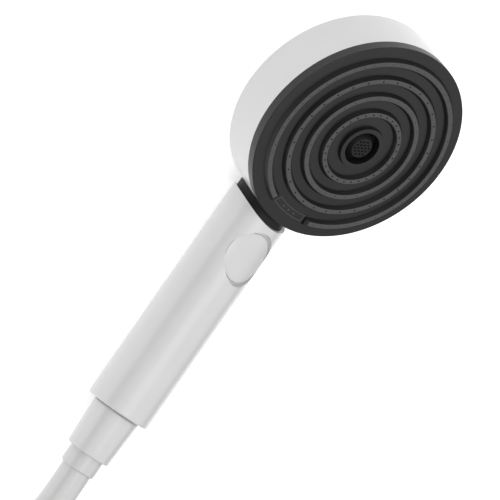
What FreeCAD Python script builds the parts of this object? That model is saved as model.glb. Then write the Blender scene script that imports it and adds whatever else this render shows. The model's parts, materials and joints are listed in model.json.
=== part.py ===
import FreeCAD, Part
import math
import os
import re
import Sketcher

# Handheld shower head, drawn lying on the back of its handle.
# +X runs along the handle towards the head, +Z is the side the water leaves by.
# Sizes are millimetres and degrees.

V = FreeCAD.Vector
doc = FreeCAD.newDocument("ShowerHead")
sheet = doc.addObject("Spreadsheet::Sheet", "Dims")

DIMS = {
    # where the handle axis crosses the axis of the round head
    "cross_x": 77.65, "axis_height": 16.05, "head_tilt": 15.4, "face_turn": 2.7,
    # back shell of the head
    "shell_radius": 52.4, "shell_wall": 2.0, "shell_back": 1.4, "shell_edge": 4.0,
    "shell_front": 26.4, "shell_round": 1.2, "neck_hole": 6.2,
    # dark spray plate
    "plate_radius": 52.5, "plate_seat": 26.5, "plate_level": 31.7, "plate_crown": 1.95,
    "crown_rate": 0.000744, "plate_rear": 29.3, "rim_radius": 50.1, "rim_inner": 48.3,
    "rim_depth": 22.0, "plate_round": 0.5,
    # raised rings that carry the soft nozzle strips
    "ring_one": 18.57, "ring_two": 27.38, "ring_three": 36.18, "ring_four": 45.0,
    "top_one": 35.41, "top_two": 35.08, "top_three": 34.62, "top_four": 34.04,
    "ring_foot": 2.3, "ring_lip": 1.25, "strip_half": 1.1, "strip_depth": 1.2,
    "strip_proud": 0.15, "jet_large": 0.45, "jet_small": 0.24, "jet_feed": 0.7,
    "gap_half": 17.5, "ring_end_half": 15.4, "ring_end_bevel": 1.0,
    # centre boss, its well and the perforated centre nozzle
    "boss_inner": 8.6, "boss_outer": 10.7, "boss_foot": 11.2, "boss_top": 35.4,
    "well_floor": 29.9, "centre_hole": 7.0, "rose_top": 35.0, "rose_radius": 5.1,
    "rose_foot": 7.9, "rose_skin": 1.6, "rose_bore": 4.2, "rose_jet": 0.48,
    "rose_pitch": 1.9,
    # plain plaque in the break of the outer ring
    "plaque_half": 13.2, "plaque_inner": 42.3, "plaque_outer": 46.0, "plaque_sunk": 0.3,
    "plaque_rim": 0.3, "plaque_lip": 0.18, "plaque_dot": 0.45,
    # screws, posts and the water chamber behind the plate
    "screw_circle": 40.9, "post_radius": 4.2, "plate_post": 3.0, "post_joint": 24.0,
    "pilot": 1.5, "screw_shank": 1.45, "screw_head": 2.75, "head_seat": 12.0,
    "head_height": 1.8, "screw_tip": 28.5, "chamber_radius": 48.0, "chamber_inner": 46.0,
    "chamber_back": 8.2, "chamber_floor": 10.2, "chamber_top": 26.6, "disc_top": 28.6,
    "seal_inner": 46.2, "seal_outer": 47.8, "stub_outer": 5.6, "stub_bore": 4.6,
    "stub_start": 48.3, "stub_end": 58.0, "neck_start": 50.0,
    # collar, neck pipe and its seals
    "collar_radius": 14.4, "collar_inner": 52.55, "collar_outer": 56.4,
    "plug_radius": 13.2, "plug_end": 66.0, "neck_outer": 4.5, "neck_inner": 2.9,
    "neck_end": 70.5, "neck_seal_a": 54.0, "neck_seal_b": 68.5, "seal_wire": 0.55,
    # handle
    "handle_radius": 16.05, "handle_inner": 13.5, "handle_cut": 56.45, "handle_end": 171.6,
    "handle_wall": 168.5, "handle_mouth": 10.6, "handle_round": 0.8,
    # push button, measured from the handle axis
    "button_at": 80.1, "button_long": 12.5, "button_wide": 11.6, "button_gap": 0.2,
    "button_crown": 13.6, "button_curve": 27.5, "button_base": 8.2, "button_roof": 10.6,
    "button_pocket": 8.5, "recess_long": 14.3, "recess_wide": 11.95, "recess_sunk": 0.05,
    # valve worked by the button
    "valve_radius": 12.9, "valve_start": 66.0, "valve_end": 94.0, "valve_top": 4.5,
    "valve_flat": 5.7, "valve_bore": 7.2, "valve_floor": -9.5, "channel": 2.6, "channel_level": -5.5,
    "cover_top": 5.7, "cover_hole": 2.7, "cover_long": 16.6, "cover_wide": 23.6,
    "stem_radius": 2.2, "plunger_radius": 6.5, "plunger_low": 2.4, "plunger_high": 4.0,
    "rotor_radius": 7.13, "rotor_low": -9.2, "rotor_high": -1.4, "rotor_seal": -2.1,
    "rotor_wire": 0.4, "tooth_circle": 5.0, "tooth_radius": 0.9, "rotor_tooth": 0.5,
    "plunger_tooth": 0.8, "spring_radius": 3.9, "spring_wire": 0.6, "spring_turns": 3.5,
    # water pipe through the handle
    "pipe_outer": 5.1, "pipe_inner": 4.0, "pipe_start": 89.5, "pipe_end": 165.5,
    "socket_radius": 5.2, "pipe_seal_a": 91.5, "pipe_seal_b": 163.5, "pipe_wire": 0.4,
    # inlet spigot and the non-return valve inside it
    "spigot_flange": 13.3, "spigot_start": 160.0, "spigot_radius": 10.42,
    "spigot_end": 184.0, "spigot_bevel": 0.6, "spigot_bore": 6.5, "spigot_step": 167.9,
    "socket_end": 166.0,
    "check_radius": 6.4, "guide_start": 168.0, "guide_end": 170.0, "guide_hole": 1.3,
    "check_end": 182.0, "check_bore": 4.9, "seat_start": 179.0, "seat_bore": 3.0,
    "poppet_radius": 3.8, "poppet_front": 178.7, "poppet_back": 177.2, "poppet_stem": 1.2,
    "poppet_tail": 168.6, "flow_circle": 3.2, "flow_hole": 1.0, "lift_radius": 2.45,
    "lift_wire": 0.35, "lift_turns": 5.0,
    # hose fitting, measured from the end of its crimped ferrule
    "ferrule_at": 204.5, "ferrule_radius": 8.8, "ferrule_bore": 5.0, "ferrule_top": 16.9,
    "hose_socket": 4.0, "hose_start": 3.6, "nipple_stem": 4.9, "nipple_bore": 3.6, "nipple_start": 4.5,
    "flange_start": 17.8, "flange_radius": 9.8, "flange_end": 19.1, "washer_end": 20.5,
    "washer_outer": 9.3, "washer_inner": 6.0, "nut_start": 8.8, "nut_end": 32.6,
    "nut_small": 11.05, "nut_large": 12.1, "nut_thread": 10.5, "thread_start": 20.6,
    "nut_relief": 10.15, "nut_neck": 8.9,
    "nut_shoulder": 17.5, "nut_round": 1.2, "nut_soft": 0.6,
    # hose: lead-in run, then a coil standing in for the rest
    "hose_radius": 7.55, "hose_bore": 5.0, "hose_pitch": 15.2, "coil_radius": 83.0,
    "run_one": 29.6, "run_two": 31.8, "run_three": 32.5, "hose_lean": 0.8,
    "hose_level": 7.6, "far_level": 42.8, "ramp_reach": 55.0, "rise_start": 12.0,
    "rise_top": 20.5,
}


def fill_sheet():
    for row, (alias, number) in enumerate(DIMS.items(), 1):
        sheet.set("A%d" % row, alias)
        sheet.set("B%d" % row, "%s" % number)
        sheet.setAlias("B%d" % row, alias)
    doc.recompute()


fill_sheet()
nodes = []


def linked(text):
    # the same formula, with every size looked up in the sheet
    return re.sub(r"[a-z]+_[a-z_]+|channel|pilot", lambda word: "Dims." + word.group(0), text)


def num(text):
    return float(sheet.evalExpression(text))


def bind(obj, prop, text):
    obj.setExpression(prop, linked(text))


def moved(frame, x, y, z):
    return frame.multiply(FreeCAD.Placement(V(x, y, z), FreeCAD.Rotation()))


def turn_about(axis, degrees, base=V(0, 0, 0)):
    return FreeCAD.Placement(base, FreeCAD.Rotation(axis, degrees))


CROSS = V(num("cross_x"), 0, num("axis_height"))
# head: z is the axis of the round head
HEAD = turn_about(V(0, 1, 0), -num("head_tilt"), CROSS)
# face: the same, with x through the break in the outer ring
FACE = HEAD.multiply(turn_about(V(0, 0, 1), 180 - num("face_turn")))
# handle: z runs from the head down the handle, x points up
HANDLE = turn_about(V(0, 1, 0), -90, CROSS)
# button: upright, under the push button
BUTTON = turn_about(V(0, 0, 1), 0, CROSS - V(num("button_at"), 0, 0))


def node(obj, name):
    obj.Label = name
    nodes.append(obj)
    return obj


def new_body(name, frame):
    body = doc.addObject("PartDesign::Body", name)
    body.Placement = frame
    return body


def sketch_in(body, role, name):
    sketch = body.newObject("Sketcher::SketchObject", name)
    plane = [item for item in body.Origin.OriginFeatures if item.Role == role][0]
    sketch.AttachmentSupport = (plane, [""])
    sketch.MapMode = "FlatFace"
    return sketch


def fix(sketch, kind, where, text):
    if kind == "Radius":
        index = sketch.addConstraint(Sketcher.Constraint(kind, where[0], num(text)))
    else:
        rule = Sketcher.Constraint(kind, -1, 1, where[0], where[1], num(text))
        index = sketch.addConstraint(rule)
    sketch.setExpression("Constraints[%d]" % index, linked(text))


def arc_between(first, last):
    # shallow dome, centred on the axis, drawn from left to right
    rise = last.y - first.y
    radius = (last.x * last.x + rise * rise) / (2 * rise)
    centre = V(0, first.y + radius, 0)
    start = math.atan2(first.y - centre.y, first.x - centre.x)
    stop = math.atan2(last.y - centre.y, last.x - centre.x)
    return Part.ArcOfCircle(Part.Circle(centre, V(0, 0, 1), radius), start, stop)


def draw_outline(sketch, outline):
    # outline: (across, along) formulas; a third entry domes the edge that follows
    points = [V(num(item[0]), num(item[1]), 0) for item in outline]
    total = len(points)
    starts = []
    for index, item in enumerate(outline):
        here, there = points[index], points[(index + 1) % total]
        if len(item) == 2:
            sketch.addGeometry(Part.LineSegment(here, there))
            starts.append(1)
        elif here.x < there.x:
            sketch.addGeometry(arc_between(here, there))
            starts.append(1)
        else:
            sketch.addGeometry(arc_between(there, here))
            starts.append(2)
    for index, item in enumerate(outline):
        before = (index - 1) % total
        ends = (before, 3 - starts[before], index, starts[index])
        sketch.addConstraint(Sketcher.Constraint("Coincident", *ends))
        fix(sketch, "DistanceX", (index, starts[index]), item[0])
        fix(sketch, "DistanceY", (index, starts[index]), item[1])
        if len(item) == 3:
            sketch.addConstraint(Sketcher.Constraint("PointOnObject", index, 3, -2))


def spin(body, kind, name, outline, angle=None):
    sketch = sketch_in(body, "XZ_Plane", name + "_outline")
    draw_outline(sketch, outline)
    feature = body.newObject("PartDesign::" + kind, name)
    feature.Profile = sketch
    feature.ReferenceAxis = (sketch, ["V_Axis"])
    feature.Angle = 360
    if angle:
        feature.Midplane = True
        bind(feature, "Angle", angle)
    body.Tip = feature
    return feature


def turned(name, frame, outline, angle=None):
    body = new_body(name, frame)
    spin(body, "Revolution", name + "_turn", outline, angle)
    return body


def pipe_outline(inner, outer, low, high):
    return [(inner, low), (outer, low), (outer, high), (inner, high)]


def circles(body, name, radius, reach, first, level):
    # one circle on the flat, the rest come from the pattern
    sketch = sketch_in(body, "XY_Plane", name + "_circle")
    sketch.AttachmentOffset = FreeCAD.Placement(V(0, 0, num(level)), FreeCAD.Rotation())
    bind(sketch, "AttachmentOffset.Base.z", level)
    across = "(%s) * cos(%s deg)" % (reach, first)
    beside = "(%s) * sin(%s deg)" % (reach, first)
    start = math.radians(first)
    spot = V(num(reach) * math.cos(start), num(reach) * math.sin(start), 0)
    sketch.addGeometry(Part.Circle(spot, V(0, 0, 1), num(radius)))
    for kind, text, now in (("DistanceX", across, spot.x), ("DistanceY", beside, spot.y)):
        index = sketch.addConstraint(Sketcher.Constraint(kind, -1, 1, 0, 3, now))
        sketch.setExpression("Constraints[%d]" % index, linked(text))
    fix(sketch, "Radius", (0,), radius)
    return sketch


def repeat(body, name, feature, sketch, count, span):
    if count < 2:
        body.Tip = feature
        return
    pattern = body.newObject("PartDesign::PolarPattern", name + "_ring")
    pattern.Originals = [feature]
    pattern.Axis = (sketch, ["N_Axis"])
    pattern.Angle = span
    pattern.Occurrences = count
    body.Tip = pattern


def drill(body, name, radius, reach, count, first=0, span=360, level="0", depth=None):
    # holes on a circle; without a depth they go right through
    doc.recompute()
    before = body.Shape.Volume
    sketch = circles(body, name, radius, reach, first, level)
    pocket = body.newObject("PartDesign::Pocket", name)
    pocket.Profile = sketch
    if depth:
        pocket.Type = "Length"
        bind(pocket, "Length", depth)
    else:
        pocket.Type = "ThroughAll"
        pocket.Midplane = True
    repeat(body, name, pocket, sketch, count, span)
    doc.recompute()
    if not body.Shape.Volume < before - 0.001:
        raise RuntimeError("nothing was drilled by " + name)


def studs(body, name, radius, reach, level, height, count, first=0, span=360):
    sketch = circles(body, name, radius, reach, first, level)
    pad = body.newObject("PartDesign::Pad", name)
    pad.Profile = sketch
    bind(pad, "Length", height)
    repeat(body, name, pad, sketch, count, span)


def edges_at(shape, radius, height):
    # names of the round edges of this radius at this height above the body's origin
    found = []
    for index, edge in enumerate(shape.Edges, 1):
        if edge.Degenerated or not isinstance(edge.Curve, Part.Circle):
            continue
        curve = edge.Curve
        near = abs(curve.Radius - radius) < 0.01 and abs(curve.Center.z - height) < 0.01
        if near:
            found.append("Edge%d" % index)
    return found


def soften(body, name, size, picks):
    doc.recompute()
    tip = body.Tip
    found = []
    for radius, height in picks:
        found += edges_at(tip.Shape, num(radius), num(height))
    fillet = body.newObject("PartDesign::Fillet", name)
    fillet.Base = (tip, found)
    bind(fillet, "Radius", size)
    body.Tip = fillet
    doc.recompute()


def rod(name, frame, radius, low, high):
    shape = doc.addObject("Part::Cylinder", name)
    bind(shape, "Radius", radius)
    bind(shape, "Height", "(%s) - (%s)" % (high, low))
    shape.Placement = moved(frame, 0, 0, num(low))
    return shape


def block(name, frame, corner, size):
    shape = doc.addObject("Part::Box", name)
    for prop, text in zip(("Length", "Width", "Height"), size):
        bind(shape, prop, text)
    shape.Placement = moved(frame, *[num(text) for text in corner])
    return shape


def oval(name, frame, long_half, wide_half, level):
    shape = doc.addObject("Part::Ellipse", name)
    bind(shape, "MajorRadius", long_half)
    bind(shape, "MinorRadius", wide_half)
    shape.Placement = moved(frame, 0, 0, num(level))
    return shape


def tube_seal(name, frame, ring, wire, level):
    shape = doc.addObject("Part::Torus", name)
    bind(shape, "Radius1", ring)
    bind(shape, "Radius2", wire)
    shape.Placement = moved(frame, 0, 0, num(level))
    return shape


def joined(name, pieces):
    whole = doc.addObject("Part::MultiFuse", name)
    whole.Shapes = pieces
    return whole


def grouped(name, pieces):
    whole = doc.addObject("Part::Compound", name)
    whole.Links = pieces
    return whole


def less(name, base, tools):
    tool = tools[0]
    if len(tools) > 1:
        tool = joined(name + "_tools", tools)
    result = doc.addObject("Part::Cut", name)
    result.Base = base
    result.Tool = tool
    return result


def shared(name, base, tool):
    result = doc.addObject("Part::Common", name)
    result.Base = base
    result.Tool = tool
    return result


def spring(name, frame, radius, wire, low, high, turns):
    line = doc.addObject("Part::Helix", name + "_line")
    length = "((%s) - (%s) - 2 * (%s))" % (high, low, wire)
    bind(line, "Pitch", "%s / (%s)" % (length, turns))
    bind(line, "Height", length)
    bind(line, "Radius", radius)
    start = num("(%s) + (%s)" % (low, wire))
    line.Placement = moved(frame, 0, 0, start)
    ring = doc.addObject("Part::Circle", name + "_wire")
    bind(ring, "Radius", wire)
    upright = turn_about(V(1, 0, 0), 90, V(num(radius), 0, start))
    ring.Placement = frame.multiply(upright)
    doc.recompute()
    coil = doc.addObject("Part::Sweep", name)
    coil.Sections = [ring]
    coil.Spine = (line, ["Edge%d" % (i + 1) for i in range(len(line.Shape.Edges))])
    coil.Solid = True
    coil.Frenet = True
    return coil


def plate_face(radius):
    return "plate_level + plate_crown - crown_rate * (%s) ^ 2" % radius


RINGS = ("one", "two", "three", "four")


def ring_outline(which):
    ring, top = "ring_" + which, "top_" + which
    low_in, low_out = ring + " - ring_foot", ring + " + ring_foot"
    return [
        (low_in, plate_face(low_in)),
        (ring + " - ring_lip", top),
        (ring + " - strip_half", top),
        (ring + " - strip_half", top + " - strip_depth"),
        (ring + " + strip_half", top + " - strip_depth"),
        (ring + " + strip_half", top),
        (ring + " + ring_lip", top),
        (low_out, plate_face(low_out)),
    ]


def far_side(outline):
    return [("0 - (%s)" % item[0], item[1]) for item in outline]


def build_spray_plate():
    outline = [
        ("centre_hole", "plate_rear"),
        ("centre_hole", "well_floor"),
        ("boss_inner", "well_floor"),
        ("boss_inner", "boss_top"),
        ("boss_outer", "boss_top"),
        ("boss_foot", plate_face("boss_foot")),
    ]
    for which in RINGS[:3]:
        outline += ring_outline(which)
    outline += [
        ("plate_radius", plate_face("plate_radius")),
        ("plate_radius", "plate_seat"),
        ("rim_radius", "plate_seat"),
        ("rim_radius", "rim_depth"),
        ("rim_inner", "rim_depth"),
        ("rim_inner", "plate_rear"),
    ]
    body = turned("spray_plate", FACE, outline)
    edge = (("plate_radius", plate_face("plate_radius")),)
    soften(body, "plate_edge", "plate_round", edge)
    add_broken_ring(body)
    sink_plaque(body)
    for which in RINGS:
        count, first, span = jets(which)
        drill(body, "feed_" + which, "jet_feed", "ring_" + which, count, first, span)
    height = "plate_rear - post_joint + 0.2"
    studs(body, "plate_post", "plate_post", "screw_circle", "post_joint", height, 4, 45)
    depth = "screw_tip - post_joint + 0.3"
    drill(body, "plate_pilot", "pilot", "screw_circle", 4, 45, 360,
          "screw_tip + 0.3", depth)
    return node(body, "spray_plate")


def jets(which):
    # the outer ring is drilled twice as closely, and not across its break
    if which == "four":
        return 54, 21, 318
    return 30, 0, 360


def add_broken_ring(body):
    ring, top = "ring_four", "top_four"
    low_in, low_out = ring + " - ring_foot", ring + " + ring_foot"
    outline = [
        (low_in, plate_face(low_in)),
        (ring + " - ring_lip", top),
        (ring + " + ring_lip", top),
        (low_out, plate_face(low_out)),
        (low_out, plate_face(low_out) + " - 0.3"),
        (low_in, plate_face(low_in) + " - 0.3"),
    ]
    spin(body, "Revolution", "broken_ring", far_side(outline), "360 - 2 * ring_end_half")
    doc.recompute()
    slope_ring_ends(body)
    before = body.Shape.Volume
    outline = pipe_outline(ring + " - strip_half", ring + " + strip_half",
                           top + " - strip_depth", top + " + 1")
    spin(body, "Groove", "broken_ring_groove", far_side(outline), "360 - 2 * gap_half")
    doc.recompute()
    if not body.Shape.Volume < before - 1:
        raise RuntimeError("the outer ring was not grooved")


def slope_ring_ends(body):
    # bevel the two radial edges where the outer ring stops
    tip = body.Tip
    level = num("top_four")
    found = []
    for index, edge in enumerate(tip.Shape.Edges, 1):
        ends = [vertex.Point for vertex in edge.Vertexes]
        if len(ends) < 2 or max(abs(end.z - level) for end in ends) > 0.01:
            continue
        reach = [math.hypot(end.x, end.y) for end in ends]
        if abs(reach[0] - reach[1]) > 2:
            found.append("Edge%d" % index)
    bevel = body.newObject("PartDesign::Chamfer", "broken_ring_ends")
    bevel.Base = (tip, found)
    bind(bevel, "Size", "ring_end_bevel")
    body.Tip = bevel
    doc.recompute()


def sink_plaque(body):
    before = body.Shape.Volume
    outline = [
        ("plaque_inner - 0.05", plate_face("plaque_inner") + " - plaque_sunk"),
        ("plaque_outer + 0.05", plate_face("plaque_outer") + " - plaque_sunk"),
        ("plaque_outer + 0.05", plate_face("plaque_outer") + " + 1"),
        ("plaque_inner - 0.05", plate_face("plaque_inner") + " + 1"),
    ]
    spin(body, "Groove", "plaque_seat", outline, "2 * plaque_half + 0.1")
    doc.recompute()
    if not body.Shape.Volume < before - 1:
        raise RuntimeError("the plaque seat was not cut")


def build_strips():
    for which in RINGS:
        ring, top = "ring_" + which, "top_" + which
        outline = [
            (ring + " - strip_half", top + " - strip_depth"),
            (ring + " + strip_half", top + " - strip_depth"),
            (ring + " + strip_half", top),
            (ring + " + strip_half * 0.7", top + " + strip_proud"),
            (ring + " - strip_half * 0.7", top + " + strip_proud"),
            (ring + " - strip_half", top),
        ]
        name = "nozzle_strip_%d" % (RINGS.index(which) + 1)
        if which == "four":
            body = turned(name, FACE, far_side(outline), "360 - 2 * gap_half")
        else:
            body = turned(name, FACE, outline)
        count, first, span = jets(which)
        size = "jet_small" if which in ("two", "four") else "jet_large"
        drill(body, name + "_jets", size, ring, count, first, span)
        node(body, name)


def build_centre_nozzle():
    rear = "plate_rear - 0.55"
    outline = [
        ("rose_bore", rear),
        ("centre_hole + 1.5", rear),
        ("centre_hole + 1.5", "plate_rear"),
        ("centre_hole - 0.1", "plate_rear"),
        ("centre_hole - 0.1", "well_floor"),
        ("rose_foot", "well_floor"),
        ("rose_foot", "well_floor + 0.3"),
        ("rose_radius", "rose_top"),
        ("0", "rose_top"),
        ("0", "rose_top - rose_skin"),
        ("rose_bore", "rose_top - rose_skin"),
    ]
    body = turned("centre_nozzle", FACE, outline)
    drill(body, "rose_middle", "rose_jet", "0", 1)
    drill(body, "rose_inner", "rose_jet", "rose_pitch", 6)
    drill(body, "rose_corner", "rose_jet", "2 * rose_pitch", 6)
    drill(body, "rose_side", "rose_jet", "sqrt(3) * rose_pitch", 6, 30)
    node(body, "centre_nozzle")


def build_plaque():
    inner, outer = "plaque_inner", "plaque_outer"
    sunk, lip = " - plaque_sunk + 0.02", " + plaque_lip"
    outline = [
        (inner, plate_face(inner) + sunk),
        (outer, plate_face(outer) + sunk),
        (outer, plate_face(outer) + lip),
        (inner, plate_face(inner) + lip),
    ]
    body = turned("name_plaque", FACE, outline, "2 * plaque_half")
    inside, beyond = inner + " + plaque_rim", outer + " - plaque_rim"
    tray = [
        (inside, plate_face(inside)),
        (beyond, plate_face(beyond)),
        (beyond, plate_face(beyond) + " + 1"),
        (inside, plate_face(inside) + " + 1"),
    ]
    doc.recompute()
    before = body.Shape.Volume
    spin(body, "Groove", "plaque_tray", tray, "2 * plaque_half - 0.9")
    doc.recompute()
    if not body.Shape.Volume < before - 0.1:
        raise RuntimeError("the plaque tray was not cut")
    middle = "(plaque_inner + plaque_outer) / 2"
    level = plate_face(middle) + " - 0.1"
    studs(body, "plaque_dots", "plaque_dot", middle, level, "0.2", 3, -5, 10)
    node(body, "name_plaque")


def build_head_shell():
    deep = "shell_wall"
    outline = [
        ("0", "shell_back", "dome"),
        ("shell_radius", "shell_edge"),
        ("shell_radius", "shell_front"),
        ("shell_radius - shell_wall", "shell_front"),
        ("shell_radius - shell_wall", "shell_edge + " + deep, "dome"),
        ("0", "shell_back + " + deep),
    ]
    body = turned("shell_blank", HEAD, outline)
    soften(body, "shell_back_edge", "shell_round", (("shell_radius", "shell_edge"),))
    hole = rod("shell_neck_hole", HANDLE, "neck_hole", "stub_start + 1.7", "stub_end")
    node(less("head_shell", body, [hole]), "head_shell")


def build_water_chamber():
    outline = [
        ("0", "chamber_back"),
        ("chamber_radius", "chamber_back"),
        ("chamber_radius", "chamber_top"),
        ("chamber_inner", "chamber_top"),
        ("chamber_inner", "chamber_floor"),
        ("0", "chamber_floor"),
    ]
    body = turned("chamber_blank", FACE, outline)
    height = "post_joint - chamber_floor + 0.2"
    studs(body, "chamber_post", "post_radius", "screw_circle", "chamber_floor - 0.2",
          height, 4, 45)
    drill(body, "post_hole", "pilot + 0.1", "screw_circle", 4, 45)
    drill(body, "post_counterbore", "screw_head + 0.25", "screw_circle", 4, 45, 360,
          "head_seat", "head_seat - chamber_back + 0.1")
    stub = rod("chamber_stub", HANDLE, "stub_outer", "stub_start", "stub_end")
    whole = joined("chamber_whole", [body, stub])
    wide = rod("stub_bore", HANDLE, "stub_bore", "neck_start", "stub_end + 1")
    narrow = rod("stub_inlet", HANDLE, "neck_inner", "neck_start - 6", "neck_start + 1")
    node(less("water_chamber", whole, [wide, narrow]), "water_chamber")


def build_disc_and_seal():
    disc = turned("jet_disc", FACE, pipe_outline("0", "chamber_radius",
                                                  "chamber_top", "disc_top"))
    drill(disc, "disc_inner_holes", "rose_foot / 6", "ring_one", 12)
    drill(disc, "disc_middle_holes", "rose_foot / 6", "ring_two", 18, 10)
    drill(disc, "disc_outer_holes", "rose_foot / 6", "ring_three", 24, 7)
    drill(disc, "disc_centre_holes", "rose_foot / 6", "rose_radius", 6)
    drill(disc, "disc_post_holes", "plate_post + 0.3", "screw_circle", 4, 45)
    node(disc, "jet_disc")
    outline = pipe_outline("seal_inner", "seal_outer", "disc_top", "plate_rear")
    node(turned("face_seal", FACE, outline), "face_seal")


def build_screws():
    body = new_body("plate_screws", FACE)
    body.AllowCompound = True
    studs(body, "screw_heads", "screw_head", "screw_circle", "head_seat - head_height",
          "head_height", 4, 45)
    studs(body, "screw_shanks", "screw_shank", "screw_circle", "head_seat - 0.1",
          "screw_tip - head_seat + 0.1", 4, 45)
    node(body, "plate_screws")


def build_collar():
    # the part seen between the head and the handle follows the round head
    outline = [
        ("collar_inner", "shell_edge - 0.4"),
        ("collar_outer", "0.2"),
        ("collar_outer", "plate_level + 10"),
        ("collar_inner", "plate_level + 10"),
    ]
    ring = turned("collar_ring", HEAD, outline)
    round_bar = rod("collar_bar", HANDLE, "collar_radius", "stub_start - 2", "plug_end")
    seen = shared("collar_seen", ring, round_bar)
    plug = rod("collar_plug", HANDLE, "plug_radius", "stub_start", "plug_end")
    head_side = rod("collar_head_side", HEAD, "collar_outer - 0.05", "0 - 60", "80")
    hidden = less("collar_hidden", plug, [head_side])
    whole = joined("collar_whole", [seen, hidden])
    wide = rod("collar_wide_bore", HANDLE, "stub_outer + 0.2", "stub_start", "stub_end + 0.2")
    narrow = rod("collar_bore", HANDLE, "neck_outer + 0.2", "stub_end", "plug_end + 1")
    node(less("collar", whole, [wide, narrow]), "collar")


def sealed_pipe(name, inner, outer, low, high, seals, wire):
    # a straight pipe with a square groove for each sealing ring
    outline = [(inner, high), (inner, low), (outer, low)]
    floor = "%s - 2 * %s + 0.1" % (outer, wire)
    for place in seals:
        outline += [
            (outer, "%s - %s" % (place, wire)),
            (floor, "%s - %s" % (place, wire)),
            (floor, "%s + %s" % (place, wire)),
            (outer, "%s + %s" % (place, wire)),
        ]
    outline.append((outer, high))
    node(turned(name, HANDLE, outline), name)
    rings = []
    for index, place in enumerate(seals):
        ring = "%s - %s + 0.1" % (outer, wire)
        rings.append(tube_seal("%s_ring_%d" % (name, index), HANDLE, ring, wire, place))
    return rings


def build_pipes():
    rings = sealed_pipe("neck_pipe", "neck_inner", "neck_outer", "neck_start",
                        "neck_end", ("neck_seal_a", "neck_seal_b"), "seal_wire")
    node(grouped("neck_o_rings", rings), "neck_o_rings")
    rings = sealed_pipe("water_pipe", "pipe_inner", "pipe_outer", "pipe_start",
                        "pipe_end", ("pipe_seal_a", "pipe_seal_b"), "pipe_wire")
    node(grouped("pipe_o_rings", rings), "pipe_o_rings")


def crown_bar(name, sunk):
    # long bar whose top is the gentle cross curve of the button
    frame = turn_about(V(0, 1, 0), -90, BUTTON.Base)
    drop = num("button_curve - button_crown + (%s)" % sunk)
    bar = doc.addObject("Part::Cylinder", name)
    bind(bar, "Radius", "button_curve")
    bar.Height = 60
    bar.Placement = moved(frame, -drop, 0, -30)
    return bar


def build_handle_shell():
    outline = [
        ("handle_radius", "handle_cut - 17"),
        ("handle_radius", "handle_end"),
        ("handle_mouth", "handle_end"),
        ("handle_mouth", "handle_wall"),
        ("handle_inner", "handle_wall"),
        ("handle_inner", "handle_cut - 17"),
    ]
    body = turned("handle_blank", HANDLE, outline)
    soften(body, "handle_end_edge", "handle_round", (("handle_radius", "handle_end"),))
    head_side = rod("handle_head_side", HEAD, "handle_cut", "0 - 60", "80")
    low = oval("recess_low", BUTTON, "recess_long - 2.45", "recess_wide - 0.15", "button_base")
    high = oval("recess_high", BUTTON, "recess_long", "recess_wide", "handle_radius + 1")
    dish = doc.addObject("Part::Loft", "recess_dish")
    dish.Sections = [low, high]
    dish.Solid = True
    dish.Ruled = True
    recess = less("recess", dish, [crown_bar("recess_floor", "recess_sunk")])
    mouth = oval("button_mouth_line", BUTTON, "button_long + button_gap",
                 "button_wide + button_gap", "valve_top")
    opening = raised("button_mouth", mouth, "handle_radius")
    tools = [head_side, recess, opening]
    node(less("handle_shell", body, tools), "handle_shell")


def raised(name, line, height):
    solid = doc.addObject("Part::Extrusion", name)
    solid.Base = line
    solid.DirMode = "Custom"
    solid.Dir = V(0, 0, 1)
    bind(solid, "LengthFwd", height)
    solid.Solid = True
    return solid


def build_button():
    line = oval("cap_line", BUTTON, "button_long", "button_wide", "button_base")
    block_up = raised("cap_block", line, "handle_radius")
    crowned = shared("cap_crowned", block_up, crown_bar("cap_crown", "0"))
    pocket = rod("cap_pocket", BUTTON, "button_pocket", "button_base - 1", "button_roof")
    node(less("button_cap", crowned, [pocket]), "button_cap")
    outline = [
        ("0", "plunger_low"),
        ("plunger_radius", "plunger_low"),
        ("plunger_radius", "plunger_high"),
        ("stem_radius", "plunger_high"),
        ("stem_radius", "button_roof"),
        ("0", "button_roof"),
    ]
    plunger = turned("button_plunger", BUTTON, outline)
    studs(plunger, "plunger_teeth", "tooth_radius", "tooth_circle",
          "plunger_low - plunger_tooth", "plunger_tooth + 0.2", 6, 30)
    node(plunger, "button_plunger")
    coil = spring("button_spring", BUTTON, "spring_radius", "spring_wire", "cover_top",
                  "button_roof", "spring_turns")
    node(coil, "button_spring")


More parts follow.
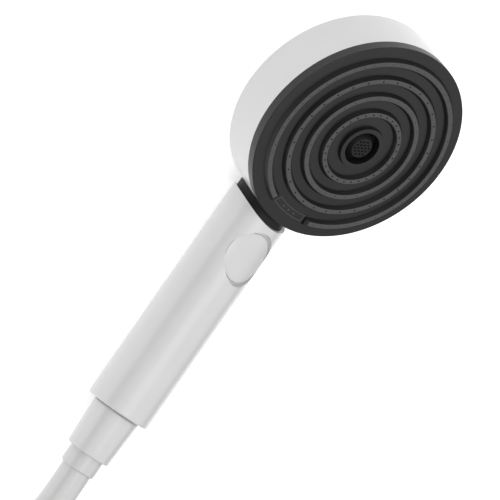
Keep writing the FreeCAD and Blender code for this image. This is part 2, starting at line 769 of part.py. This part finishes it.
def build_valve():
    bar = rod("valve_bar", HANDLE, "valve_radius", "valve_start", "valve_end")
    tools = [
        block("valve_clear", BUTTON, ("0 - 20", "0 - 20", "valve_flat"), ("40", "40", "20")),
        block("valve_cover_seat", BUTTON, ("0 - cover_long / 2", "0 - 20", "valve_top"),
              ("cover_long", "40", "20")),
        rod("valve_well", BUTTON, "valve_bore", "valve_floor", "valve_top + 1"),
        rod("valve_front", HANDLE, "stub_bore", "valve_start - 1", "neck_end + 1"),
        rod("valve_rear", HANDLE, "socket_radius", "pipe_start - 0.5", "valve_end + 1"),
    ]
    low = HANDLE.multiply(FreeCAD.Placement(V(num("channel_level"), 0, 0),
                                            FreeCAD.Rotation()))
    tools.append(rod("valve_channel", low, "channel", "neck_end - 1", "pipe_start + 1"))
    node(less("valve_body", bar, tools), "valve_body")
    corner = ("0 - cover_long / 2", "0 - cover_wide / 2", "valve_top")
    size = ("cover_long", "cover_wide", "cover_top - valve_top")
    lid = block("cover_blank", BUTTON, corner, size)
    hole = rod("cover_stem_hole", BUTTON, "cover_hole", "valve_top - 1", "cover_top + 1")
    node(less("valve_cover", lid, [hole]), "valve_cover")
    outline = [
        ("0", "rotor_low"),
        ("rotor_radius", "rotor_low"),
        ("rotor_radius", "rotor_seal - rotor_wire"),
        ("rotor_radius - 2 * rotor_wire", "rotor_seal - rotor_wire"),
        ("rotor_radius - 2 * rotor_wire", "rotor_seal + rotor_wire"),
        ("rotor_radius", "rotor_seal + rotor_wire"),
        ("rotor_radius", "rotor_high"),
        ("0", "rotor_high"),
    ]
    plug = turned("rotor_blank", BUTTON, outline)
    studs(plug, "rotor_teeth", "tooth_radius", "tooth_circle", "rotor_high - 0.2",
          "rotor_tooth + 0.2", 6)
    across = rod("rotor_port", low, "channel", "button_at - 10", "button_at + 10")
    node(less("valve_rotor", plug, [across]), "valve_rotor")
    seal = tube_seal("rotor_o_ring", BUTTON, "rotor_radius - rotor_wire + 0.01",
                     "rotor_wire", "rotor_seal")
    node(seal, "rotor_o_ring")


def build_inlet():
    outline = [
        ("spigot_flange", "spigot_start"),
        ("spigot_flange", "handle_wall"),
        ("spigot_radius", "handle_wall"),
        ("spigot_radius", "spigot_end - spigot_bevel"),
        ("spigot_radius - spigot_bevel", "spigot_end"),
        ("spigot_bore", "spigot_end"),
        ("spigot_bore", "spigot_step"),
        ("pipe_inner", "spigot_step"),
        ("pipe_inner", "socket_end"),
        ("socket_radius", "socket_end"),
        ("socket_radius", "spigot_start"),
    ]
    node(turned("inlet_spigot", HANDLE, outline), "inlet_spigot")
    outline = pipe_outline("guide_hole", "check_radius", "guide_start", "guide_end")
    guide = turned("check_valve_guide", HANDLE, outline)
    drill(guide, "guide_flow", "flow_hole", "flow_circle", 6)
    node(guide, "check_valve_guide")
    outline = [
        ("check_bore", "guide_end"),
        ("check_radius", "guide_end"),
        ("check_radius", "check_end"),
        ("seat_bore", "check_end"),
        ("seat_bore", "seat_start"),
        ("check_bore", "seat_start"),
    ]
    node(turned("check_valve_body", HANDLE, outline), "check_valve_body")
    outline = [
        ("0", "poppet_tail"),
        ("poppet_stem", "poppet_tail"),
        ("poppet_stem", "poppet_back"),
        ("poppet_radius", "poppet_back"),
        ("poppet_radius", "poppet_front"),
        ("0", "poppet_front"),
    ]
    node(turned("check_valve_poppet", HANDLE, outline), "check_valve_poppet")
    coil = spring("check_valve_spring", HANDLE, "lift_radius", "lift_wire", "guide_end",
                  "poppet_back", "lift_turns")
    node(coil, "check_valve_spring")


def ferrule_outline(cupped):
    outline = [
        ("ferrule_bore", "ferrule_top"),
        ("ferrule_radius - 0.2", "ferrule_top"),
        ("ferrule_radius", "ferrule_top - 0.4"),
        ("ferrule_radius", "0.4"),
        ("ferrule_radius - 0.4", "0"),
    ]
    if not cupped:
        return outline + [("ferrule_bore", "0")]
    return outline + [
        ("hose_radius + 0.25", "0"),
        ("hose_radius + 0.25", "hose_socket"),
        ("ferrule_bore", "hose_socket"),
    ]


def build_fitting(place, names, cupped):
    # ferrule, nipple, washer and nut, in order from the hose
    ferrule, nipple, washer, nut = names
    node(turned(ferrule, place, ferrule_outline(cupped)), ferrule)
    outline = [
        ("nipple_bore", "nipple_start"),
        ("nipple_stem", "nipple_start"),
        ("nipple_stem", "flange_start"),
        ("flange_radius", "flange_start"),
        ("flange_radius", "flange_end"),
        ("nipple_bore", "flange_end"),
    ]
    node(turned(nipple, place, outline), nipple)
    outline = pipe_outline("washer_inner", "washer_outer", "flange_end", "washer_end")
    node(turned(washer, place, outline), washer)
    outline = [
        ("nut_neck", "nut_start"),
        ("nut_small", "nut_start"),
        ("nut_large", "nut_end"),
        ("nut_thread", "nut_end"),
        ("nut_thread", "thread_start"),
        ("nut_relief", "thread_start - 0.4"),
        ("nut_relief", "nut_shoulder"),
        ("nut_neck", "nut_shoulder"),
    ]
    body = turned(nut, place, outline)
    soften(body, nut + "_open_edge", "nut_round", (("nut_large", "nut_end"),))
    soften(body, nut + "_hose_edge", "nut_soft", (("nut_small", "nut_start"),))
    node(body, nut)


def route_points():
    start = num("cross_x - ferrule_at + hose_start")
    level, floor = num("axis_height"), num("hose_level")
    lean = num("hose_lean")
    points = [V(start, 0, level), V(start - num("run_one"), -lean, level + lean)]
    points.append(V(points[-1].x - num("run_two"), 0, floor))
    points.append(V(points[-1].x - num("run_three"), 0, floor))
    return points


def rounded_route(points):
    # straight runs joined by arcs that touch both neighbours
    edges = []
    here = points[0]
    bends = []
    for before, corner, after in zip(points, points[1:], points[2:]):
        back, on = before.sub(corner), after.sub(corner)
        short = min(back.Length, on.Length)
        half = (math.pi - back.getAngle(on)) / 2
        reach = 0.45 * short
        bends.append(reach / math.tan(half))
        first = corner.add(back.normalize().multiply(reach))
        last = corner.add(on.normalize().multiply(reach))
        centre_way = back.add(on).normalize()
        centre = corner.add(centre_way.multiply(bends[-1] / math.cos(half)))
        middle = centre.add(corner.sub(centre).normalize().multiply(bends[-1]))
        edges.append(Part.makeLine(here, first))
        edges.append(Part.Arc(first, middle, last).toShape())
        here = last
    edges.append(Part.makeLine(here, points[-1]))
    return Part.Wire(edges), bends


def round_pipe(route, radius, start, way):
    ring = Part.Wire([Part.makeCircle(radius, start, way)])
    return route.makePipeShell([ring], True, False)


def build_hose():
    points = route_points()
    route, bends = rounded_route(points)
    way = points[1].sub(points[0])
    outer = round_pipe(route, num("hose_radius"), points[0], way)
    inner = round_pipe(route, num("hose_bore"), points[0], way)
    run = doc.addObject("Part::Feature", "hose_run")
    run.Shape = outer.cut(inner)
    run.Placement = FreeCAD.Placement()
    node(run, "hose_run")
    ideal = math.pi * (num("hose_radius") ** 2 - num("hose_bore") ** 2) * route.Length
    print("hose bends", [round(bend, 1) for bend in bends], "mm, length",
          round(route.Length, 1), "volume", round(run.Shape.Volume / ideal, 4))
    build_coil(points[-1])


def coil_layers(name, centre, low, high, gaps):
    # turns of hose lying on each other, as one flat ring
    ring = rod(name + "_ring", centre, "coil_radius + hose_pitch / 2", low, high)
    eye = rod(name + "_eye", centre, "coil_radius - hose_pitch / 2", low + " - 1", high + " + 1")
    node(less(name, ring, [eye] + gaps), name)


def build_coil(start):
    # two turns on the floor and half a turn on top of them
    centre = FreeCAD.Placement(V(start.x, -num("coil_radius"), 0), FreeCAD.Rotation())
    beside = "coil_radius - hose_pitch / 2 - 0.2"
    lead_in = [
        block("coil_lead_in", centre, ("0", beside, "0 - 1"), ("60", "20", "hose_pitch + 1.1")),
        block("coil_lead_rise", centre, ("rise_start", beside, "0 - 1"),
              ("60", "20", "rise_top + 1")),
    ]
    coil_layers("hose_coil", centre, "0", "2 * hose_pitch", lead_in)
    ends = [
        block("coil_open_half", centre, ("0", "0 - 100", "2 * hose_pitch - 1"),
              ("100", "100", "20")),
        block("coil_ramp_end", centre, ("ramp_reach", "0 - 1", "2 * hose_pitch - 1"),
              ("100", "120", "20")),
    ]
    coil_layers("hose_last_turn", centre, "2 * hose_pitch", "3 * hose_pitch", ends)
    along = FreeCAD.Rotation(V(0, 1, 0), 90)
    end = V(start.x, -2 * num("coil_radius"), num("far_level"))
    names = ("far_ferrule", "far_nipple", "far_washer", "far_nut")
    build_fitting(FreeCAD.Placement(end, along), names, False)


def build_all():
    build_head_shell()
    build_spray_plate()
    build_strips()
    build_centre_nozzle()
    build_plaque()
    build_water_chamber()
    build_disc_and_seal()
    build_screws()
    build_collar()
    build_pipes()
    build_handle_shell()
    build_button()
    build_valve()
    build_inlet()
    near = turn_about(V(0, 1, 0), 90, CROSS - V(num("ferrule_at"), 0, 0))
    names = ("hose_ferrule", "hose_nipple", "hose_washer", "hose_nut")
    build_fitting(near, names, True)
    build_hose()
    doc.recompute()


def write_parts():
    for obj in doc.Objects:
        if "Invalid" in obj.State or "Error" in obj.State:
            raise RuntimeError("%s did not rebuild: %s" % (obj.Name, obj.State))
    for obj in nodes:
        if obj.Shape.isNull() or not obj.Shape.isValid():
            raise RuntimeError("%s has no sound shape" % obj.Label)
    os.makedirs("parts", exist_ok=True)
    for obj in nodes:
        obj.Shape.exportStep("parts/%s.step" % obj.Label)
        box = obj.Shape.BoundBox
        print("%-20s %2d solid  %9.1f mm3  X %7.1f %7.1f  Y %6.1f %6.1f  Z %5.2f %5.2f" % (
            obj.Label, len(obj.Shape.Solids), obj.Shape.Volume, box.XMin, box.XMax,
            box.YMin, box.YMax, box.ZMin, box.ZMax))


build_all()
write_parts()
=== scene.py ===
import json
import math

import bpy
from mathutils import Matrix, Vector


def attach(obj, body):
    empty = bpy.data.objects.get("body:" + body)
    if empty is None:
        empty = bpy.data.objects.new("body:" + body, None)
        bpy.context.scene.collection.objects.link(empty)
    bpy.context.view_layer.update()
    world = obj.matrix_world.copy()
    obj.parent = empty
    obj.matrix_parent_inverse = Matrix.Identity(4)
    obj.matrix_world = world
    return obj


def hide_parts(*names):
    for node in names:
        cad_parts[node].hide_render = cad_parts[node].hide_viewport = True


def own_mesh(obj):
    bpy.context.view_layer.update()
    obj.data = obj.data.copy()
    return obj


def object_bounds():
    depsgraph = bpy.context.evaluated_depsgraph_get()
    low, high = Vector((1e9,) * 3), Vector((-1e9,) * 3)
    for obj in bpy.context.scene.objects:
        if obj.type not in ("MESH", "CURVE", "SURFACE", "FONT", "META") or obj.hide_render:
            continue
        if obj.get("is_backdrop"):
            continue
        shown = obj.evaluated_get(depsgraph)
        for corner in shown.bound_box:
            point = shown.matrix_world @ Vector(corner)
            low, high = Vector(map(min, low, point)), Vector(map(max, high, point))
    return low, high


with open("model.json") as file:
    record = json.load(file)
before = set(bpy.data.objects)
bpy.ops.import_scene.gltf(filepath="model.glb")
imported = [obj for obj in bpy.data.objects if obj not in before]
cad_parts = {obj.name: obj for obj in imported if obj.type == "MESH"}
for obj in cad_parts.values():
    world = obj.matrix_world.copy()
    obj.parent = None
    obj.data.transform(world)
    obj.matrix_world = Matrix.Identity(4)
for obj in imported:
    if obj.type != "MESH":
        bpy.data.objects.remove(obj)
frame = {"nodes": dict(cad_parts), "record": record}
first_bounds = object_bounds()
nodes = frame["nodes"]

# All lengths are in metres.

# where the axis of the handle crosses the axis of the head
CROSS = Vector((0.07765, 0.0, 0.01605))
HEAD_TILT = math.radians(15.4)

# The front of the spray plate is crowned. PLATE_TOP is its height on the axis of the
# head, and it falls by CROWN_RATE times the square of the distance from that axis.
PLATE_TOP = 0.03365
CROWN_RATE = 0.744
# how far above the crown of the spray plate the plaque's painted highlight starts
HIGHLIGHT_RISE = 0.00005

# the grain and mottle that every material shares
MOTTLE_SCALE = 38.0
MOTTLE_DETAIL = 4.0
MOTTLE_FROM = 0.3
MOTTLE_TO = 0.7
GRAIN_DETAIL = 6.0
GRAIN_DEPTH = 0.0002
GLOSS_SPREAD = 0.08
COAT_ROUGHNESS = 0.15
METAL_BUMP = 0.05
# the lighter grey painted on the plaque's raised rim as a highlight
RIM_HIGHLIGHT_GREY = 0.075

HOSE_RADIUS = 0.00755
# distances back from CROSS: where the drawn hose starts inside its ferrule, and
# where it comes out of it
HOSE_START = 0.2009
# the lead-in run: straight out, down to the floor, then along it to the coil
RUN_OUT = 0.0296
RUN_DOWN = 0.0318
RUN_ALONG = 0.0325
HOSE_LEAN = 0.0008
# the coil: its turns are stacked, and the hose climbs a layer in the last CLIMB of
# each full turn, and up to its far end in the last LAST_CLIMB
COIL_RADIUS = 0.083
COIL_TURNS = 2.5
COIL_STEP = math.radians(10)
CLIMB = math.radians(104)
LAST_CLIMB = math.radians(55)
LAYER = 0.0152
FLOOR_LEVEL = 0.0076
FAR_LEVEL = 0.0428

FLOOR_SIZE = 12
FLOOR_DROP = 0.0008
FLOOR_GLOW = 0.5

# the studio: SKY_DARK up to DARK_UNTIL, then brighter up to BRIGHT_FROM, both being
# the height of the direction that is looked in
SKY = 1.2
SKY_DARK = 0.14
DARK_UNTIL = 0.34
BRIGHT_FROM = 0.62

LENS_MM = 252
SENSOR_MM = 36
CAMERA_RIGHT = (0.5715, -0.5958, 0.5642)
CAMERA_BACK = (0, 0.6876, 0.7261)
# from CROSS to the camera, and small corrections in the plane of the picture
CAMERA_PLACE = Vector((-0.07604, 1.1029, 1.1773))
CAMERA_LEFT = 0.00069
CAMERA_RAISE = 0.00032


def plain(values):
    if isinstance(values, (int, float, str)):
        return values
    return [plain(value) for value in values]


def ease(value):
    """From 0 to 1, level at both ends."""
    value = min(max(value, 0.0), 1.0)
    return value * value * (3 - 2 * value)


# ---------------------------------------------------------------- materials

def socket(shader, name, value):
    shader.inputs[name].default_value = value


def surface(name, dark, light, rough, grain, bump, specular=0.5, coat=0.0):
    """A faint mottle in colour, and a fine grain in gloss and height."""
    material = bpy.data.materials.new(name)
    material.use_nodes = True
    tree = material.node_tree
    shader = tree.nodes["Principled BSDF"]
    place = tree.nodes.new("ShaderNodeTexCoord")
    mottle = tree.nodes.new("ShaderNodeTexNoise")
    socket(mottle, "Scale", MOTTLE_SCALE)
    socket(mottle, "Detail", MOTTLE_DETAIL)
    tree.links.new(place.outputs["Object"], mottle.inputs["Vector"])
    tone = tree.nodes.new("ShaderNodeValToRGB")
    tone.color_ramp.elements[0].position = MOTTLE_FROM
    tone.color_ramp.elements[0].color = (*dark, 1)
    tone.color_ramp.elements[1].position = MOTTLE_TO
    tone.color_ramp.elements[1].color = (*light, 1)
    tree.links.new(mottle.outputs["Fac"], tone.inputs["Fac"])
    tree.links.new(tone.outputs["Color"], shader.inputs["Base Color"])
    fine = tree.nodes.new("ShaderNodeTexNoise")
    socket(fine, "Scale", grain)
    socket(fine, "Detail", GRAIN_DETAIL)
    tree.links.new(place.outputs["Object"], fine.inputs["Vector"])
    gloss = tree.nodes.new("ShaderNodeMapRange")
    socket(gloss, "To Min", rough - GLOSS_SPREAD)
    socket(gloss, "To Max", rough + GLOSS_SPREAD)
    tree.links.new(fine.outputs["Fac"], gloss.inputs["Value"])
    tree.links.new(gloss.outputs["Result"], shader.inputs["Roughness"])
    relief = tree.nodes.new("ShaderNodeBump")
    socket(relief, "Strength", bump)
    socket(relief, "Distance", GRAIN_DEPTH)
    tree.links.new(fine.outputs["Fac"], relief.inputs["Height"])
    tree.links.new(relief.outputs["Normal"], shader.inputs["Normal"])
    socket(shader, "Specular IOR Level", specular)
    socket(shader, "Coat Weight", coat)
    socket(shader, "Coat Roughness", COAT_ROUGHNESS)
    return material


def metal(name, dark, light, rough, grain):
    material = surface(name, dark, light, rough, grain, METAL_BUMP)
    socket(material.node_tree.nodes["Principled BSDF"], "Metallic", 1.0)
    return material


def grey(value):
    return (value, value, value)


def calculate(tree, operation, *values):
    """A maths node whose inputs are numbers or the outputs of other nodes."""
    step = tree.nodes.new("ShaderNodeMath")
    step.operation = operation
    for index, value in enumerate(values):
        if isinstance(value, (int, float)):
            step.inputs[index].default_value = value
        else:
            tree.links.new(value, step.inputs[index])
    return step.outputs[0]


def paint_rim_highlight(material, colour):
    """Paint a highlight: what stands above the crown of the spray plate gets a second,
    lighter colour, for the light that its raised edges catch.
    """
    tree = material.node_tree
    shader = tree.nodes["Principled BSDF"]
    place = tree.nodes.new("ShaderNodeTexCoord")
    head = tree.nodes.new("ShaderNodeMapping")
    head.vector_type = "TEXTURE"
    socket(head, "Location", CROSS)
    socket(head, "Rotation", (0, -HEAD_TILT, 0))
    tree.links.new(place.outputs["Object"], head.inputs["Vector"])
    split = tree.nodes.new("ShaderNodeSeparateXYZ")
    tree.links.new(head.outputs["Vector"], split.inputs["Vector"])
    along, beside, height = split.outputs
    reach = calculate(tree, "MULTIPLY_ADD", beside, beside,
                      calculate(tree, "MULTIPLY", along, along))
    level = calculate(tree, "MULTIPLY_ADD", reach, CROWN_RATE, height)
    raised = calculate(tree, "GREATER_THAN", level, PLATE_TOP + HIGHLIGHT_RISE)
    blend = tree.nodes.new("ShaderNodeMixRGB")
    base = shader.inputs["Base Color"].links[0].from_socket
    tree.links.new(raised, blend.inputs["Fac"])
    tree.links.new(base, blend.inputs["Color1"])
    socket(blend, "Color2", (*colour, 1))
    tree.links.new(blend.outputs["Color"], shader.inputs["Base Color"])


MATERIALS = {
    "white_plastic": surface("white plastic", grey(0.58), grey(0.60), 0.34, 900, 0.02,
                             specular=0.8, coat=0.4),
    "dark_plate": surface("dark plate", grey(0.009), grey(0.011), 0.38, 1500, 0.06,
                          specular=0.34),
    "soft_nozzles": surface("soft nozzles", grey(0.062), grey(0.069), 0.6, 1800, 0.08,
                            specular=0.4),
    "soft_centre": surface("soft centre", grey(0.006), grey(0.007), 0.6, 1800, 0.08,
                           specular=0.28),
    "plaque": surface("plaque", grey(0.010), grey(0.012), 0.42, 1500, 0.05,
                      specular=0.34),
    "dark_plastic": surface("dark plastic", grey(0.008), grey(0.010), 0.5, 1500, 0.06,
                            specular=0.2),
    "inner_plastic": surface("inner plastic", grey(0.50), grey(0.56), 0.5, 900, 0.05),
    "seal_rubber": surface("seal rubber", grey(0.018), grey(0.024), 0.7, 1200, 0.1),
    "steel": metal("steel", grey(0.5), grey(0.6), 0.3, 1400),
    "brass": metal("brass", (0.55, 0.42, 0.18), (0.66, 0.5, 0.24), 0.3, 1400),
    "nut_plastic": surface("nut plastic", grey(0.56), grey(0.58), 0.32, 900, 0.02,
                           specular=0.8, coat=0.6),
    "hose_plastic": surface("hose plastic", grey(0.53), grey(0.55), 0.36, 900, 0.02,
                            specular=0.8, coat=0.6),
}

# the plaque's raised rim gets a painted highlight in a lighter grey
paint_rim_highlight(MATERIALS["plaque"], grey(RIM_HIGHLIGHT_GREY))


def dress(obj, material):
    obj.data.materials.clear()
    obj.data.materials.append(material)


for part in frame["record"]["subparts"]:
    dress(nodes[part["node"]], MATERIALS[part["material_slot"]])


# --------------------------------------------------------------------- hose

def hose_height(turn):
    """The height of the middle of the hose, turn radians along the coil."""
    full = 2 * math.pi
    height = FLOOR_LEVEL
    for layer in (1, 2):
        height += LAYER * ease((turn - layer * full + CLIMB) / CLIMB)
    rise = FAR_LEVEL - FLOOR_LEVEL - 2 * LAYER
    return height + rise * ease((turn - COIL_TURNS * full + LAST_CLIMB) / LAST_CLIMB)


def hose_points():
    """Lead-in run, then two and a half turns stacked in a coil."""
    start = CROSS.x - HOSE_START
    points = [Vector((start, 0, CROSS.z))]
    points.append(Vector((start - RUN_OUT, -HOSE_LEAN, CROSS.z + HOSE_LEAN)))
    points.append(Vector((points[-1].x - RUN_DOWN, 0, FLOOR_LEVEL)))
    top = points[-1].x - RUN_ALONG
    # the line lies inside its control points, so they stand a little wider
    wide = COIL_RADIUS / math.cos(COIL_STEP / 2)
    steps = round(COIL_TURNS * 2 * math.pi / COIL_STEP)
    for index in range(steps):
        turn = (index + 0.5) * COIL_STEP
        angle = math.pi / 2 + turn
        spot = Vector((math.cos(angle) * wide, math.sin(angle) * wide - COIL_RADIUS, 0))
        points.append(Vector((top, 0, hose_height(turn))) + spot)
    points.append(Vector((top, -2 * COIL_RADIUS, FAR_LEVEL)))
    return points


def make_hose():
    curve = bpy.data.curves.new("hose", "CURVE")
    curve.dimensions = "3D"
    curve.bevel_depth = HOSE_RADIUS
    curve.bevel_resolution = 10
    curve.resolution_u = 12
    points = hose_points()
    spline = curve.splines.new("NURBS")
    spline.points.add(len(points) - 1)
    for knot, point in zip(spline.points, points):
        knot.co = (*point, 1)
    spline.order_u = 3
    spline.use_endpoint_u = True
    hose = bpy.data.objects.new("hose", curve)
    bpy.context.scene.collection.objects.link(hose)
    curve.materials.append(MATERIALS["hose_plastic"])
    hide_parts("hose_run", "hose_coil", "hose_last_turn")
    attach(hose, "head_and_handle")


make_hose()


# ------------------------------------------------------------------ springs

def make_spring(node, axis):
    """A copy of the spring's mesh in steel, attached to the head and handle in place of
    the spring part.
    """
    axis = Vector(axis)
    spring = bpy.data.objects.new(node + "_coil", nodes[node].data.copy())
    bpy.context.scene.collection.objects.link(spring)
    dress(spring, MATERIALS["steel"])
    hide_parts(node)
    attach(spring, "head_and_handle")
    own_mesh(spring)


make_spring("button_spring", (0, 0, 1))
make_spring("check_valve_spring",
            (1, 0, 0))


# ---------------------------------------------------- floor, lights, camera

def make_floor():
    bpy.ops.mesh.primitive_plane_add(size=FLOOR_SIZE, location=(0, 0, -FLOOR_DROP))
    floor = bpy.context.object
    floor.name = "floor"
    paper = surface("floor", grey(0.86), grey(0.87), 0.9, 40, 0.0, specular=0.1)
    shader = paper.node_tree.nodes["Principled BSDF"]
    socket(shader, "Emission Color", (1, 1, 1, 1))
    socket(shader, "Emission Strength", FLOOR_GLOW)
    dress(floor, paper)
    floor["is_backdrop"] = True


def make_light(name, place, size, power):
    """A square lamp that points at CROSS."""
    data = bpy.data.lights.new(name, "AREA")
    data.shape = "SQUARE"
    data.size = size
    data.energy = power
    lamp = bpy.data.objects.new(name, data)
    lamp.location = place
    aim = (CROSS - Vector(place)).to_track_quat("-Z", "Y")
    lamp.rotation_euler = aim.to_euler()
    bpy.context.scene.collection.objects.link(lamp)


def make_world():
    """A studio that is bright overhead, and dark towards and below the horizon."""
    world = bpy.data.worlds.new("studio")
    world.use_nodes = True
    tree = world.node_tree
    place = tree.nodes.new("ShaderNodeTexCoord")
    split = tree.nodes.new("ShaderNodeSeparateXYZ")
    tree.links.new(place.outputs["Generated"], split.inputs["Vector"])
    ramp = tree.nodes.new("ShaderNodeValToRGB")
    stops = ramp.color_ramp.elements
    stops[0].position, stops[0].color = 0.0, (*grey(SKY_DARK), 1)
    stops[1].position, stops[1].color = DARK_UNTIL, (*grey(SKY_DARK), 1)
    bright = stops.new(BRIGHT_FROM)
    bright.color = (1, 1, 1, 1)
    tree.links.new(split.outputs["Z"], ramp.inputs["Fac"])
    glow = tree.nodes["Background"]
    tree.links.new(ramp.outputs["Color"], glow.inputs["Color"])
    socket(glow, "Strength", SKY)
    bpy.context.scene.world = world
    bpy.context.scene.view_settings.view_transform = "Standard"


def make_camera():
    data = bpy.data.cameras.new("camera")
    data.lens = LENS_MM
    data.sensor_width = SENSOR_MM
    data.clip_start = 0.05
    data.clip_end = 20
    camera = bpy.data.objects.new("camera", data)
    right = Vector(CAMERA_RIGHT).normalized()
    back = Vector(CAMERA_BACK).normalized()
    up = back.cross(right).normalized()
    right = up.cross(back)
    turn = Matrix((right, up, back)).transposed().to_4x4()
    spot = CROSS + CAMERA_PLACE - CAMERA_LEFT * right + CAMERA_RAISE * up
    camera.matrix_world = Matrix.Translation(spot) @ turn
    bpy.context.scene.collection.objects.link(camera)
    bpy.context.scene.camera = camera


make_floor()
make_world()
make_light("overhead", place=(0.2, 0.5, 2.2), size=1.2, power=6)
make_light("side", place=(-1.8, 0.6, 0.9), size=1.0, power=1)
make_camera()

{"after_load": plain(first_bounds), "before_finish": plain(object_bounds())}
